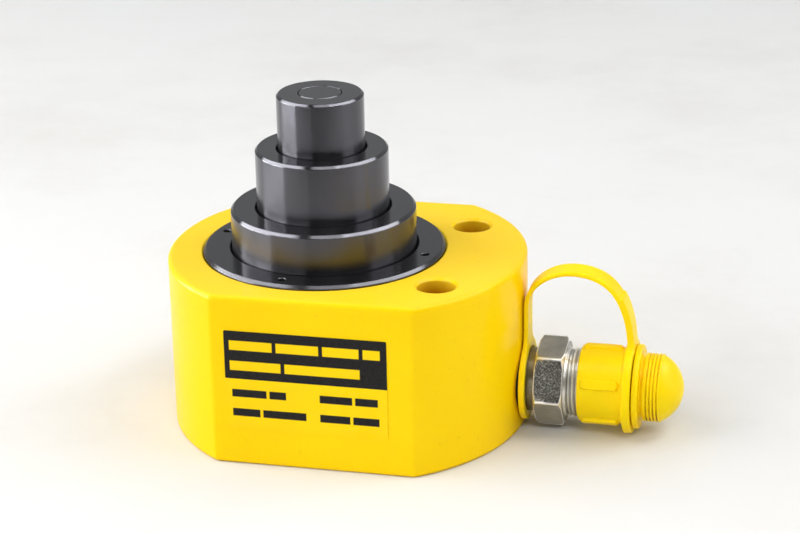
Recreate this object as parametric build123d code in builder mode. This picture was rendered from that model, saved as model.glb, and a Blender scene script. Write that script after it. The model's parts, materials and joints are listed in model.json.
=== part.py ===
from build123d import *
from math import sqrt
import os

# A low-profile three-stage hydraulic cylinder, shown with every stage extended.
# Origin: centre of the bore on the base plane. +Z is the lifting direction, +X points to the oil coupler.
# All sizes are in millimetres.

os.makedirs("parts", exist_ok=True)

# ---------------------------------------------------------------- driving dimensions

# heights above the base
BODY_HEIGHT = 61.1
CLOSED_HEIGHT = 63.0
STROKE_1 = 14.0
STROKE_2 = 21.0
STROKE_3 = 19.0
STEP_PER_STAGE = 0.25

# body: a round block with two flats, set off the bore axis towards the coupler
BODY_RADIUS = 62.5
BODY_SHIFT = 8.3
FLAT_DISTANCE = 52.0
BODY_EDGE = 1.6
BODY_CORNER = 2.5
FLOOR = 10.0

# bore and rods
BORE_RADIUS = 36.5
RUNNING_FIT = 0.05
RING_PLAY = 0.05
ROD_FIT = 0.10
ROD_1 = 32.2
ROD_2 = 23.0
ROD_3 = 15.05
TUBE_1 = 27.5
TUBE_2 = 19.3

# piston lengths and where each piston meets its stop with the stages out
GLAND_SEAT = 38.5
PISTON_1 = 14.0
PISTON_2 = 11.0
PISTON_3 = 10.0
LIP_1 = 16.0
LIP_2 = 15.0

# gland nut
GLAND_RADIUS = 42.3
GLAND_BORE = 42.45
GLAND_PROUD = 1.3
SPANNER_CIRCLE = 37.3
SPANNER_HOLE = 1.4
SPANNER_DEPTH = 4.5
SPANNER_ANGLE = -8.0
SPANNER_EDGE = 0.25

# mounting holes
MOUNT_X = 46.3
MOUNT_SPACING = 59.2
MOUNT_HOLE = 6.55

# label on the front flat
LABEL_WIDTH = 55.8
LABEL_HEIGHT = 35.4
LABEL_X = 6.3
LABEL_Z = 31.2
LABEL_THICK = 0.25
LABEL_CORNER = 0.4

# oil coupler, on an axis along +X
COUPLER_Z = 16.75
SPOT_FACE_X = 69.0
SPOT_FACE_RADIUS = 11.6
PORT_END_X = 55.0
PORT_RADIUS = 8.0
OIL_PASSAGE = 2.0
SEAL_THICK = 1.8
SEAL_RADIUS = 10.6
NECK_RADIUS = 11.0
HEX_X = 76.0
HEX_LENGTH = 10.0
HEX_FLATS = 27.0
HEX_TURN = 9.0
THREAD_CREST = 12.0
THREAD_ROOT = 11.1
THREAD_PITCH = 1.5
THREAD_TURNS = 10
THREAD_X = 87.2
NOSE_RADIUS = 9.0
NOSE_END_X = 110.0
INNER_PASSAGE = 3.2
CHAMBER_X = 79.0
CHAMBER_RADIUS = 5.6
SEAT_X = 102.0
SEAT_RADIUS = 7.0
SEAT_HOLE = 3.3
SEAT_MOUTH = 5.5
SEAT_MOUTH_DEPTH = 3.5
SEAT_CONE = 1.0
BALL_RADIUS = 4.75
BALL_GAP = 0.1
SPRING_RADIUS = 3.9
SPRING_WIRE = 0.45
SPRING_TURNS = 7

# dust cap and its strap
CAP_X = 90.9
CAP_BORE = 12.1
CAP_RADIUS = 13.25
CAP_SHOULDER_X = 106.6
CAP_THREAD_DEPTH_X = 103.6
CAP_NECK = 10.6
CAP_FLANGE_X = 109.9
CAP_FLANGE_END_X = 111.9
CAP_FLANGE = 14.6
CAP_END_RADIUS = 11.85
CAP_DOME_X = 119.0
CAP_DOME_RADIUS = 11.45
CAP_TIP_X = 126.3
RIB_COUNT = 5
RIB_WIDTH = 3.4
RIB_RADIUS = 14.2
RIB_X = 92.2
RIB_END_X = 105.2
RIB_START = 159.0
STRAP_WIDTH = 9.2
STRAP_THICK = 1.6
STRAP_RING_1_X = 71.0
STRAP_RING_1_END_X = 73.1
STRAP_RING_1 = 14.2
STRAP_RING_2_X = 106.9
STRAP_RING_2_END_X = 109.6
STRAP_RING_2 = 16.4

# every visible turned edge is broken by this much
EDGE_BREAK = 0.25

# ---------------------------------------------------------------- derived heights

TOP_1 = CLOSED_HEIGHT - 2 * STEP_PER_STAGE + STROKE_1
TOP_2 = CLOSED_HEIGHT - STEP_PER_STAGE + STROKE_1 + STROKE_2
TOP_3 = CLOSED_HEIGHT + STROKE_1 + STROKE_2 + STROKE_3
GLAND_TOP = BODY_HEIGHT + GLAND_PROUD
STOP_1 = GLAND_SEAT
STOP_2 = TOP_1 - LIP_1
STOP_3 = TOP_2 - LIP_2
BOTTOM_1 = STOP_1 - PISTON_1
BOTTOM_2 = STOP_2 - PISTON_2
BOTTOM_3 = STOP_3 - PISTON_3
THREAD_END_X = THREAD_X + THREAD_TURNS * THREAD_PITCH
COUPLER_AXIS = Axis((0, 0, COUPLER_Z), (1, 0, 0))


# ---------------------------------------------------------------- repeated shapes


def turned_on_z(points, soft_above=None):
    """A solid turned about the bore axis from (radius, height) points.

    Corners above the height soft_above have their edges broken with a small round.
    """
    with BuildPart() as piece:
        with BuildSketch(Plane.XZ) as outline:
            with BuildLine():
                Polyline(*points, close=True)
            make_face()
            if soft_above is not None:
                corners = outline.vertices().filter_by(lambda v: v.Y > soft_above and v.X > 0.01)
                fillet(corners, EDGE_BREAK)
        revolve(axis=Axis.Z)
    return piece


def turned_on_coupler(points):
    """A solid turned about the coupler axis from (x, radius) points."""
    with BuildPart() as piece:
        with BuildSketch(Plane.XZ):
            with BuildLine():
                Polyline(*[(x, COUPLER_Z + radius) for x, radius in points], close=True)
            make_face()
        revolve(axis=COUPLER_AXIS)
    return piece


def seal_ring(inner, outer, low, high):
    """A square ring that fills a groove, with its outer edges broken."""
    edge = 0.3
    return turned_on_z([
        (inner, low),
        (outer - edge, low),
        (outer, low + edge),
        (outer, high - edge),
        (outer - edge, high),
        (inner, high),
    ])


def wiper_ring(rod, groove, low, high):
    """A wiper that sits in a groove round a rod, with a lip leaning against the rod."""
    lip = rod + 0.03
    waist = rod + 0.8
    third = (high - low) / 3
    return turned_on_z([
        (groove, low),
        (groove, high),
        (waist, high),
        (lip, high - third / 2),
        (lip, high - third),
        (waist, low + third),
        (waist, low),
    ])


def stop_ring(inner, outer, low, high):
    """An internal retaining ring with its gap at the back."""
    gap = 9.0
    with BuildPart() as piece:
        with BuildSketch(Plane.XY.offset(low)):
            Circle(outer)
            Circle(inner, mode=Mode.SUBTRACT)
            with Locations((0, outer)):
                Rectangle(gap, outer, mode=Mode.SUBTRACT)
        extrude(amount=high - low)
    return piece


def save(piece, node):
    """Label a finished piece and write its file."""
    piece.part.label = node
    export_step(piece.part, f"parts/{node}.step")


# ---------------------------------------------------------------- cylinder body

GLAND_MOUTH = 0.5
HOLE_EDGE = 0.9

with BuildPart() as cylinder_body:
    with BuildSketch():
        with Locations((BODY_SHIFT, 0)):
            Circle(BODY_RADIUS)
            Rectangle(3 * BODY_RADIUS, 2 * FLAT_DISTANCE, mode=Mode.INTERSECT)
    extrude(amount=BODY_HEIGHT)
    fillet(cylinder_body.edges().filter_by(Axis.Z), BODY_CORNER)
    fillet(cylinder_body.faces().sort_by(Axis.Z)[-1].edges(), BODY_EDGE)
    fillet(cylinder_body.faces().sort_by(Axis.Z)[0].edges(), BODY_EDGE)
    # stepped bore: piston bore above the floor, wider seat for the gland nut
    with BuildSketch(Plane.XY.offset(FLOOR)):
        Circle(BORE_RADIUS)
    extrude(amount=BODY_HEIGHT, mode=Mode.SUBTRACT)
    with BuildSketch(Plane.XY.offset(GLAND_SEAT)):
        Circle(GLAND_BORE)
    extrude(amount=BODY_HEIGHT, mode=Mode.SUBTRACT)
    mouth = cylinder_body.edges().filter_by(GeomType.CIRCLE).group_by(Axis.Z)[-1]
    chamfer(mouth.filter_by(lambda edge: abs(edge.radius - GLAND_BORE) < 0.01), GLAND_MOUTH)
    # two through holes that bolt the cylinder down
    with Locations((MOUNT_X, 0, BODY_HEIGHT)):
        with GridLocations(1, MOUNT_SPACING, 1, 2):
            Hole(MOUNT_HOLE)
    rims = cylinder_body.edges().filter_by(GeomType.CIRCLE)
    chamfer(rims.filter_by(lambda edge: abs(edge.radius - MOUNT_HOLE) < 0.01), HOLE_EDGE)
    # oil port: spot face, threaded hole and the narrow passage to the bore
    with BuildSketch(Plane.YZ.offset(SPOT_FACE_X)):
        with Locations((0, COUPLER_Z)):
            Circle(SPOT_FACE_RADIUS)
    extrude(amount=BODY_RADIUS, mode=Mode.SUBTRACT)
    with BuildSketch(Plane.YZ.offset(PORT_END_X)):
        with Locations((0, COUPLER_Z)):
            Circle(PORT_RADIUS)
    extrude(amount=BODY_RADIUS, mode=Mode.SUBTRACT)
    with BuildSketch(Plane.YZ.offset(BORE_RADIUS - 2)):
        with Locations((0, COUPLER_Z)):
            Circle(OIL_PASSAGE)
    extrude(amount=PORT_END_X - BORE_RADIUS + 3, mode=Mode.SUBTRACT)
save(cylinder_body, "cylinder_body")

# ---------------------------------------------------------------- gland nut and its rings

WEAR_GROOVE = (41.0, 48.0)
WEAR_DEPTH = 1.8
O_RING_Z = 52.0
O_RING_SECTION = 1.2
O_RING_GROOVE = 2.5
WIPER_GROOVE = (56.6, 60.2)
WIPER_DEPTH = 2.6
GLAND_CHAMFER = 1.0
MOUTH_GAP = 0.65
MOUTH_CHAMFER = 0.3
GLAND_HOLE = ROD_1 + ROD_FIT
GLAND_MOUTH_RADIUS = ROD_1 + MOUTH_GAP

with BuildPart() as gland_nut:
    with BuildSketch(Plane.XZ) as gland_outline:
        with BuildLine():
            Polyline(
                (GLAND_RADIUS, GLAND_SEAT),
                (GLAND_RADIUS, O_RING_Z - O_RING_SECTION - 0.3),
                (GLAND_RADIUS - O_RING_GROOVE, O_RING_Z - O_RING_SECTION - 0.3),
                (GLAND_RADIUS - O_RING_GROOVE, O_RING_Z + O_RING_SECTION + 0.3),
                (GLAND_RADIUS, O_RING_Z + O_RING_SECTION + 0.3),
                (GLAND_RADIUS, GLAND_TOP - GLAND_CHAMFER),
                (GLAND_RADIUS - GLAND_CHAMFER, GLAND_TOP),
                (GLAND_MOUTH_RADIUS + MOUTH_CHAMFER, GLAND_TOP),
                (GLAND_MOUTH_RADIUS, GLAND_TOP - MOUTH_CHAMFER),
                (GLAND_MOUTH_RADIUS, WIPER_GROOVE[1]),
                (GLAND_HOLE + WIPER_DEPTH, WIPER_GROOVE[1]),
                (GLAND_HOLE + WIPER_DEPTH, WIPER_GROOVE[0]),
                (GLAND_HOLE, WIPER_GROOVE[0]),
                (GLAND_HOLE, WEAR_GROOVE[1]),
                (GLAND_HOLE + WEAR_DEPTH, WEAR_GROOVE[1]),
                (GLAND_HOLE + WEAR_DEPTH, WEAR_GROOVE[0]),
                (GLAND_HOLE, WEAR_GROOVE[0]),
                (GLAND_HOLE, GLAND_SEAT),
                close=True,
            )
        make_face()
        top_corners = gland_outline.vertices().filter_by(lambda v: v.Y > GLAND_TOP - GLAND_CHAMFER - 0.01)
        fillet(top_corners, EDGE_BREAK)
    revolve(axis=Axis.Z)
    # four blind holes for a pin spanner
    with Locations((0, 0, GLAND_TOP)):
        with PolarLocations(SPANNER_CIRCLE, 4, start_angle=SPANNER_ANGLE):
            Hole(SPANNER_HOLE, depth=SPANNER_DEPTH)
    spanner_rims = gland_nut.edges().filter_by(GeomType.CIRCLE).group_by(Axis.Z)[-1]
    chamfer(spanner_rims.filter_by(lambda edge: abs(edge.radius - SPANNER_HOLE) < 0.01), SPANNER_EDGE)
save(gland_nut, "gland_nut")

with BuildPart() as gland_o_ring:
    with BuildSketch(Plane.XZ):
        with Locations((GLAND_RADIUS - O_RING_SECTION, O_RING_Z)):
            Circle(O_RING_SECTION)
    revolve(axis=Axis.Z)
save(gland_o_ring, "gland_o_ring")

gland_wear_ring = turned_on_z([
    (ROD_1 + RING_PLAY, WEAR_GROOVE[0]),
    (GLAND_HOLE + WEAR_DEPTH - RING_PLAY, WEAR_GROOVE[0]),
    (GLAND_HOLE + WEAR_DEPTH - RING_PLAY, WEAR_GROOVE[1]),
    (ROD_1 + RING_PLAY, WEAR_GROOVE[1]),
])
save(gland_wear_ring, "gland_wear_ring")

gland_wiper = wiper_ring(ROD_1, GLAND_HOLE + WIPER_DEPTH - RING_PLAY, *WIPER_GROOVE)
save(gland_wiper, "gland_wiper")

# ---------------------------------------------------------------- stage 1

PISTON_1_RADIUS = BORE_RADIUS - RUNNING_FIT
SKIRT_RADIUS = PISTON_1_RADIUS - 0.65
SKIRT_TOP = BOTTOM_1 + 8.0
SEAL_1 = (BOTTOM_1 + 9.3, BOTTOM_1 + 12.8)
SEAL_1_GROOVE = 33.3
WIPER_2_GROOVE = (TOP_1 - 5.1, TOP_1 - 2.3)
WIPER_2_DEPTH = 2.5
STOP_RING_1 = (BOTTOM_1 + 1.6, BOTTOM_1 + 3.1)
STOP_RING_DEPTH = 1.1
LIP_HOLE_1 = ROD_2 + ROD_FIT
CHAMFER_1 = 1.0
CHAMFER_2 = 0.9
CHAMFER_3 = 0.8
LIP_MOUTH_1 = ROD_2 + MOUTH_GAP

stage_1_plunger = turned_on_z([
    (SKIRT_RADIUS, BOTTOM_1),
    (SKIRT_RADIUS, SKIRT_TOP),
    (PISTON_1_RADIUS, SKIRT_TOP),
    (PISTON_1_RADIUS, SEAL_1[0]),
    (SEAL_1_GROOVE, SEAL_1[0]),
    (SEAL_1_GROOVE, SEAL_1[1]),
    (PISTON_1_RADIUS, SEAL_1[1]),
    (PISTON_1_RADIUS, STOP_1),
    (ROD_1, STOP_1),
    (ROD_1, TOP_1 - CHAMFER_1),
    (ROD_1 - CHAMFER_1, TOP_1),
    (LIP_MOUTH_1 + MOUTH_CHAMFER, TOP_1),
    (LIP_MOUTH_1, TOP_1 - MOUTH_CHAMFER),
    (LIP_MOUTH_1, WIPER_2_GROOVE[1]),
    (LIP_HOLE_1 + WIPER_2_DEPTH, WIPER_2_GROOVE[1]),
    (LIP_HOLE_1 + WIPER_2_DEPTH, WIPER_2_GROOVE[0]),
    (LIP_HOLE_1, WIPER_2_GROOVE[0]),
    (LIP_HOLE_1, STOP_2),
    (TUBE_1, STOP_2),
    (TUBE_1, STOP_RING_1[1]),
    (TUBE_1 + STOP_RING_DEPTH, STOP_RING_1[1]),
    (TUBE_1 + STOP_RING_DEPTH, STOP_RING_1[0]),
    (TUBE_1, STOP_RING_1[0]),
    (TUBE_1, BOTTOM_1),
], soft_above=TOP_1 - CHAMFER_1 - 0.01)
save(stage_1_plunger, "stage_1_plunger")

stage_1_piston_seal = seal_ring(SEAL_1_GROOVE + RING_PLAY, PISTON_1_RADIUS + 0.02, *SEAL_1)
save(stage_1_piston_seal, "stage_1_piston_seal")

stage_1_stop_ring = stop_ring(TUBE_1 - 2.1, TUBE_1 + STOP_RING_DEPTH - 0.1, *STOP_RING_1)
save(stage_1_stop_ring, "stage_1_stop_ring")

stage_1_wiper = wiper_ring(ROD_2, LIP_HOLE_1 + WIPER_2_DEPTH - RING_PLAY, *WIPER_2_GROOVE)
save(stage_1_wiper, "stage_1_wiper")

# ---------------------------------------------------------------- stage 2

PISTON_2_RADIUS = TUBE_1 - RUNNING_FIT
WEAR_2 = (BOTTOM_2 + 1.4, BOTTOM_2 + 3.8)
WEAR_2_GROOVE = 26.1
SEAL_2 = (BOTTOM_2 + 5.3, BOTTOM_2 + 9.1)
SEAL_2_GROOVE = 24.6
WIPER_3_GROOVE = (TOP_2 - 4.8, TOP_2 - 2.2)
WIPER_3_DEPTH = 2.2
STOP_RING_2 = (BOTTOM_2 + 1.5, BOTTOM_2 + 2.8)
LIP_HOLE_2 = ROD_3 + ROD_FIT
LIP_MOUTH_2 = ROD_3 + MOUTH_GAP

stage_2_plunger = turned_on_z([
    (PISTON_2_RADIUS, BOTTOM_2),
    (PISTON_2_RADIUS, WEAR_2[0]),
    (WEAR_2_GROOVE, WEAR_2[0]),
    (WEAR_2_GROOVE, WEAR_2[1]),
    (PISTON_2_RADIUS, WEAR_2[1]),
    (PISTON_2_RADIUS, SEAL_2[0]),
    (SEAL_2_GROOVE, SEAL_2[0]),
    (SEAL_2_GROOVE, SEAL_2[1]),
    (PISTON_2_RADIUS, SEAL_2[1]),
    (PISTON_2_RADIUS, STOP_2),
    (ROD_2, STOP_2),
    (ROD_2, TOP_2 - CHAMFER_2),
    (ROD_2 - CHAMFER_2, TOP_2),
    (LIP_MOUTH_2 + MOUTH_CHAMFER, TOP_2),
    (LIP_MOUTH_2, TOP_2 - MOUTH_CHAMFER),
    (LIP_MOUTH_2, WIPER_3_GROOVE[1]),
    (LIP_HOLE_2 + WIPER_3_DEPTH, WIPER_3_GROOVE[1]),
    (LIP_HOLE_2 + WIPER_3_DEPTH, WIPER_3_GROOVE[0]),
    (LIP_HOLE_2, WIPER_3_GROOVE[0]),
    (LIP_HOLE_2, STOP_3),
    (TUBE_2, STOP_3),
    (TUBE_2, STOP_RING_2[1]),
    (TUBE_2 + STOP_RING_DEPTH, STOP_RING_2[1]),
    (TUBE_2 + STOP_RING_DEPTH, STOP_RING_2[0]),
    (TUBE_2, STOP_RING_2[0]),
    (TUBE_2, BOTTOM_2),
], soft_above=TOP_2 - CHAMFER_2 - 0.01)
save(stage_2_plunger, "stage_2_plunger")

stage_2_piston_seal = seal_ring(SEAL_2_GROOVE + RING_PLAY, PISTON_2_RADIUS + 0.02, *SEAL_2)
save(stage_2_piston_seal, "stage_2_piston_seal")

stage_2_wear_ring = seal_ring(WEAR_2_GROOVE + RING_PLAY, PISTON_2_RADIUS + 0.02, *WEAR_2)
save(stage_2_wear_ring, "stage_2_wear_ring")

stage_2_stop_ring = stop_ring(TUBE_2 - 1.9, TUBE_2 + STOP_RING_DEPTH - 0.1, *STOP_RING_2)
save(stage_2_stop_ring, "stage_2_stop_ring")

stage_2_wiper = wiper_ring(ROD_3, LIP_HOLE_2 + WIPER_3_DEPTH - RING_PLAY, *WIPER_3_GROOVE)
save(stage_2_wiper, "stage_2_wiper")

# ---------------------------------------------------------------- stage 3

PISTON_3_RADIUS = TUBE_2 - RUNNING_FIT
WEAR_3 = (BOTTOM_3 + 1.2, BOTTOM_3 + 3.3)
WEAR_3_GROOVE = 18.0
SEAL_3 = (BOTTOM_3 + 4.7, BOTTOM_3 + 8.1)
SEAL_3_GROOVE = 16.6
POCKET_RADIUS = 7.6
POCKET_DEPTH = 6.5
PLUG_RADIUS = 7.35
PLUG_CHAMFER = 0.25

stage_3_plunger = turned_on_z([
    (0, BOTTOM_3),
    (PISTON_3_RADIUS, BOTTOM_3),
    (PISTON_3_RADIUS, WEAR_3[0]),
    (WEAR_3_GROOVE, WEAR_3[0]),
    (WEAR_3_GROOVE, WEAR_3[1]),
    (PISTON_3_RADIUS, WEAR_3[1]),
    (PISTON_3_RADIUS, SEAL_3[0]),
    (SEAL_3_GROOVE, SEAL_3[0]),
    (SEAL_3_GROOVE, SEAL_3[1]),
    (PISTON_3_RADIUS, SEAL_3[1]),
    (PISTON_3_RADIUS, STOP_3),
    (ROD_3, STOP_3),
    (ROD_3, TOP_3 - CHAMFER_3),
    (ROD_3 - CHAMFER_3, TOP_3),
    (POCKET_RADIUS + PLUG_CHAMFER, TOP_3),
    (POCKET_RADIUS, TOP_3 - PLUG_CHAMFER),
    (POCKET_RADIUS, TOP_3 - POCKET_DEPTH),
    (0, TOP_3 - POCKET_DEPTH),
], soft_above=TOP_3 - CHAMFER_3 - 0.01)
save(stage_3_plunger, "stage_3_plunger")

stage_3_piston_seal = seal_ring(SEAL_3_GROOVE + RING_PLAY, PISTON_3_RADIUS + 0.02, *SEAL_3)
save(stage_3_piston_seal, "stage_3_piston_seal")

stage_3_wear_ring = seal_ring(WEAR_3_GROOVE + RING_PLAY, PISTON_3_RADIUS + 0.02, *WEAR_3)
save(stage_3_wear_ring, "stage_3_wear_ring")

stage_3_top_plug = turned_on_z([
    (0, TOP_3 - POCKET_DEPTH),
    (PLUG_RADIUS, TOP_3 - POCKET_DEPTH),
    (PLUG_RADIUS, TOP_3 - PLUG_CHAMFER),
    (PLUG_RADIUS - PLUG_CHAMFER, TOP_3),
    (0, TOP_3),
])
save(stage_3_top_plug, "stage_3_top_plug")

# ---------------------------------------------------------------- label

with BuildPart() as label_plate:
    with BuildSketch(Plane.XZ.offset(FLAT_DISTANCE)):
        with Locations((LABEL_X, LABEL_Z)):
            RectangleRounded(LABEL_WIDTH, LABEL_HEIGHT, LABEL_CORNER)
    extrude(amount=LABEL_THICK)
save(label_plate, "label_plate")

# ---------------------------------------------------------------- oil coupler

NECK_X = SPOT_FACE_X + SEAL_THICK
STUB_START_X = PORT_END_X + 1.0
STUB_RADIUS = PORT_RADIUS - 0.1
HEX_END_X = HEX_X + HEX_LENGTH
HEX_CORNER = HEX_FLATS / sqrt(3)
HEX_BEVEL = 0.85
HEX_FACE_RADIUS = HEX_FLATS / 2 + 0.45
HEX_CORNER_ROUND = 0.5

thread_profile = []
for turn in range(THREAD_TURNS):
    start_x = THREAD_X + turn * THREAD_PITCH
    thread_profile.append((start_x, THREAD_ROOT))
    thread_profile.append((start_x + 0.4 * THREAD_PITCH, THREAD_CREST))
    thread_profile.append((start_x + 0.6 * THREAD_PITCH, THREAD_CREST))

with BuildPart() as coupler_body:
    with BuildSketch(Plane.YZ.offset(HEX_X)):
        with Locations((0, COUPLER_Z)):
            RegularPolygon(HEX_FLATS / 2, 6, major_radius=False, rotation=HEX_TURN)
    extrude(amount=HEX_LENGTH)
    fillet(coupler_body.edges().filter_by(Axis.X), HEX_CORNER_ROUND)
    # the corners of the hexagon are turned off at 30 degrees on both ends
    with BuildSketch(Plane.XZ):
        with BuildLine():
            Polyline(
                (HEX_X, COUPLER_Z),
                (HEX_X, COUPLER_Z + HEX_FACE_RADIUS),
                (HEX_X + HEX_BEVEL, COUPLER_Z + HEX_CORNER),
                (HEX_END_X - HEX_BEVEL, COUPLER_Z + HEX_CORNER),
                (HEX_END_X, COUPLER_Z + HEX_FACE_RADIUS),
                (HEX_END_X, COUPLER_Z),
                close=True,
            )
        make_face()
    revolve(axis=COUPLER_AXIS, mode=Mode.INTERSECT)
    # stub in the port, neck, threaded spigot and nose
    with BuildSketch(Plane.XZ):
        with BuildLine():
            Polyline(
                *[(x, COUPLER_Z + radius) for x, radius in [
                    (STUB_START_X, 0),
                    (STUB_START_X, STUB_RADIUS - 0.8),
                    (STUB_START_X + 0.8, STUB_RADIUS),
                    (NECK_X, STUB_RADIUS),
                    (NECK_X, NECK_RADIUS),
                    (HEX_X, NECK_RADIUS),
                    (HEX_X, THREAD_ROOT - 0.2),
                    (THREAD_X, THREAD_ROOT - 0.2),
                    *thread_profile,
                    (THREAD_END_X, THREAD_ROOT),
                    (THREAD_END_X, NOSE_RADIUS),
                    (NOSE_END_X - 0.8, NOSE_RADIUS),
                    (NOSE_END_X, NOSE_RADIUS - 0.8),
                    (NOSE_END_X, 0),
                ]],
                close=True,
            )
        make_face()
    revolve(axis=COUPLER_AXIS)
    # oil way, ball chamber and seat bore
    for start_x, end_x, radius in [
        (STUB_START_X, CHAMBER_X, INNER_PASSAGE),
        (CHAMBER_X, SEAT_X, CHAMBER_RADIUS),
        (SEAT_X, NOSE_END_X, SEAT_RADIUS),
    ]:
        with BuildSketch(Plane.YZ.offset(start_x)):
            with Locations((0, COUPLER_Z)):
                Circle(radius)
        extrude(amount=end_x - start_x, mode=Mode.SUBTRACT)
save(coupler_body, "coupler_body")

coupler_seal = turned_on_coupler([
    (SPOT_FACE_X, STUB_RADIUS + 0.1),
    (SPOT_FACE_X, SEAL_RADIUS),
    (NECK_X, SEAL_RADIUS),
    (NECK_X, STUB_RADIUS + 0.1),
])
save(coupler_seal, "coupler_seal")

coupler_seat = turned_on_coupler([
    (SEAT_X, SEAT_HOLE),
    (SEAT_X, SEAT_RADIUS - RING_PLAY),
    (NOSE_END_X, SEAT_RADIUS - RING_PLAY),
    (NOSE_END_X, SEAT_MOUTH),
    (NOSE_END_X - SEAT_MOUTH_DEPTH, SEAT_MOUTH),
    (NOSE_END_X - SEAT_MOUTH_DEPTH - SEAT_CONE, SEAT_HOLE),
])
save(coupler_seat, "coupler_seat")

BALL_X = SEAT_X - sqrt(BALL_RADIUS**2 - SEAT_HOLE**2) - BALL_GAP
with BuildPart() as coupler_ball:
    with Locations((BALL_X, 0, COUPLER_Z)):
        Sphere(BALL_RADIUS)
save(coupler_ball, "coupler_ball")

SPRING_START_X = CHAMBER_X + SPRING_WIRE
SPRING_END_X = BALL_X - sqrt(BALL_RADIUS**2 - SPRING_RADIUS**2) - 2 * SPRING_WIRE
SPRING_LENGTH = SPRING_END_X - SPRING_START_X
with BuildPart() as coupler_spring:
    with BuildLine():
        Helix(
            SPRING_LENGTH / SPRING_TURNS,
            SPRING_LENGTH,
            SPRING_RADIUS,
            center=(SPRING_START_X, 0, COUPLER_Z),
            direction=(1, 0, 0),
        )
    coil = coupler_spring.pending_edges[0]
    with BuildSketch(Plane(origin=coil @ 0, z_dir=coil % 0)):
        Circle(SPRING_WIRE)
    sweep(is_frenet=True)
save(coupler_spring, "coupler_spring")

# ---------------------------------------------------------------- dust cap

CAP_END_GROOVES = (114.6, 115.8, 117.0, 118.2)
CAP_GROOVE_WIDTH = 0.6
CAP_GROOVE_DEPTH = 0.5
NOSE_ROOM = 0.3
CAP_END_BORE = 7.6
CAP_HOLLOW_END_X = CAP_DOME_X - 1.0
DOME_RISE = CAP_TIP_X - CAP_DOME_X
DOME_SPHERE = (CAP_DOME_RADIUS**2 + DOME_RISE**2) / (2 * DOME_RISE)

groove_profile = []
for groove_x in CAP_END_GROOVES:
    groove_profile.append((groove_x - CAP_GROOVE_WIDTH / 2, CAP_END_RADIUS))
    groove_profile.append((groove_x, CAP_END_RADIUS - CAP_GROOVE_DEPTH))
    groove_profile.append((groove_x + CAP_GROOVE_WIDTH / 2, CAP_END_RADIUS))

with BuildPart() as dust_cap:
    # outside, solid
    with BuildSketch(Plane.XZ):
        with BuildLine():
            outside = Polyline(
                *[(x, COUPLER_Z + radius) for x, radius in [
                    (CAP_X, 0),
                    (CAP_X, CAP_RADIUS - 0.5),
                    (CAP_X + 0.5, CAP_RADIUS),
                    (CAP_SHOULDER_X - 0.6, CAP_RADIUS),
                    (CAP_SHOULDER_X, CAP_RADIUS + 0.5),
                    (CAP_SHOULDER_X, CAP_NECK),
                    (CAP_FLANGE_X, CAP_NECK),
                    (CAP_FLANGE_X, CAP_FLANGE),
                    (CAP_FLANGE_END_X - 0.5, CAP_FLANGE),
                    (CAP_FLANGE_END_X, CAP_FLANGE - 0.5),
                    (CAP_FLANGE_END_X, CAP_NECK),
                    (CAP_FLANGE_END_X + 1.6, CAP_NECK),
                    (CAP_FLANGE_END_X + 1.6, CAP_END_RADIUS),
                    *groove_profile,
                    (CAP_DOME_X, CAP_END_RADIUS),
                    (CAP_DOME_X, CAP_DOME_RADIUS),
                ]],
            )
            dome = RadiusArc(outside @ 1, (CAP_TIP_X, COUPLER_Z), DOME_SPHERE)
            Line(dome @ 1, outside @ 0)
        make_face()
    revolve(axis=COUPLER_AXIS)
    # grip ribs along the side
    with BuildSketch(Plane.YZ.offset(RIB_X)):
        with Locations((0, COUPLER_Z)):
            with PolarLocations((CAP_RADIUS + RIB_RADIUS) / 2 - 0.4, RIB_COUNT, start_angle=RIB_START):
                Rectangle(RIB_RADIUS - CAP_RADIUS + 0.8, RIB_WIDTH)
    extrude(amount=RIB_END_X - RIB_X)
    # hollow: thread bore, room for the nose, and the hollow end
    for start_x, end_x, radius in [
        (CAP_X, CAP_THREAD_DEPTH_X, CAP_BORE),
        (CAP_THREAD_DEPTH_X, NOSE_END_X + NOSE_ROOM, NOSE_RADIUS + NOSE_ROOM),
        (NOSE_END_X + NOSE_ROOM, CAP_HOLLOW_END_X, CAP_END_BORE),
    ]:
        with BuildSketch(Plane.YZ.offset(start_x)):
            with Locations((0, COUPLER_Z)):
                Circle(radius)
        extrude(amount=end_x - start_x, mode=Mode.SUBTRACT)
save(dust_cap, "dust_cap")

# ---------------------------------------------------------------- strap between neck and cap

with BuildPart() as dust_cap_strap:
    for start_x, end_x, outer, inner in [
        (STRAP_RING_1_X, STRAP_RING_1_END_X, STRAP_RING_1, NECK_RADIUS + 0.3),
        (STRAP_RING_2_X, STRAP_RING_2_END_X, STRAP_RING_2, CAP_NECK + 0.3),
    ]:
        with BuildSketch(Plane.YZ.offset(start_x)):
            with Locations((0, COUPLER_Z)):
                Circle(outer)
                Circle(inner, mode=Mode.SUBTRACT)
        extrude(amount=end_x - start_x)
    # the band stands up from the first ring, arches over and comes down to the second
    with BuildSketch(Plane.XZ):
        with BuildLine():
            Spline(
                (STRAP_RING_1_X + 0.95, COUPLER_Z + 12.8),
                (72.0, 41.0),
                (72.8, 49.0),
                (80.1, 56.4),
                (87.5, 58.15),
                (100.3, 54.1),
                (105.8, 45.2),
                (STRAP_RING_2_X + 1.2, COUPLER_Z + 14.0),
                tangents=[(0, 1), (0.03, -1)],
            )
        trace(line_width=STRAP_THICK)
    extrude(amount=STRAP_WIDTH / 2, both=True)
save(dust_cap_strap, "dust_cap_strap")
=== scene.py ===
import json
from math import asin, atan, cos, floor, hypot, pi, radians, sin, sqrt, tan

import bmesh
import bpy
import numpy as np
from mathutils import Matrix, Vector


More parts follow.
